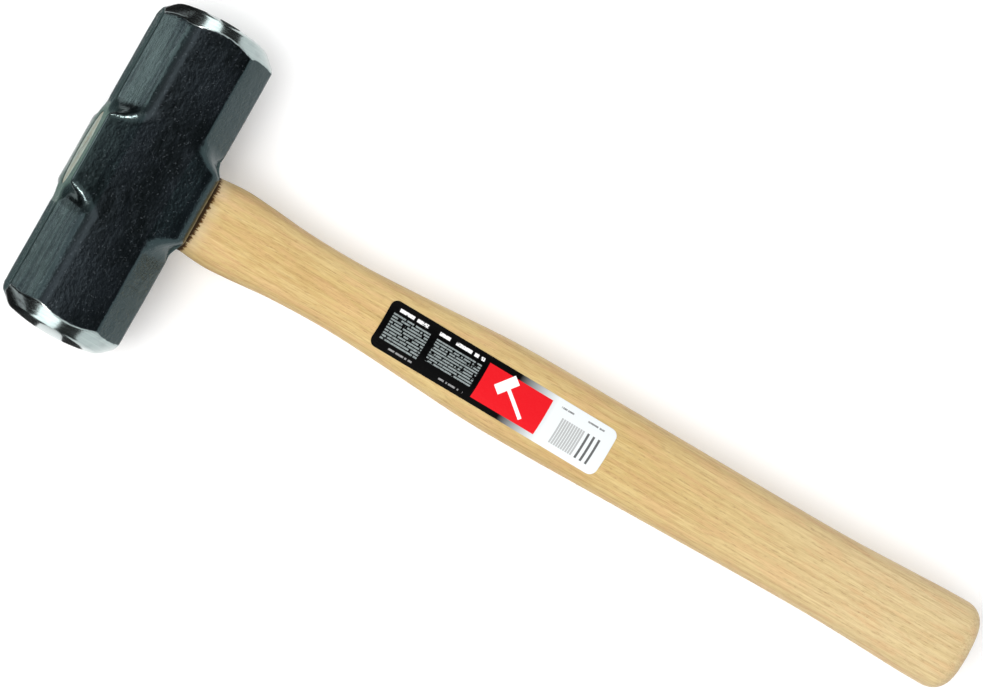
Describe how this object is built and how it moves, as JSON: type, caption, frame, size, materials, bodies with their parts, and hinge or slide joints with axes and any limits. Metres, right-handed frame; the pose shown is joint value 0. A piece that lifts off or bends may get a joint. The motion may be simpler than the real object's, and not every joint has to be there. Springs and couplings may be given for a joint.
{
  "type": "sledgehammer",
  "caption": "Short-handled double-faced sledgehammer with a forged, painted octagonal head wedged on a contoured hickory handle, for striking chisels, stakes and hot work.",
  "frame": {"origin": "middle of the lower cheek of the head, under the centre of the eye", "axes": "+X along the handle from the head to the butt, +Y along the head from face to face, +Z out of the upper cheek; the hammer lies on its lower cheek"},
  "size_m": [0.3998, 0.1344, 0.0465],
  "materials": {
    "head": "satin",
    "handle": "satin",
    "wood_wedge": "matte",
    "steel_wedge": "satin",
    "label": "satin"
  },
  "bodies": {
    "root": {"head": "head", "handle": "handle", "wood_wedge": "wood_wedge", "steel_wedge": "steel_wedge", "label": "label"}
  },
  "joints": []
}
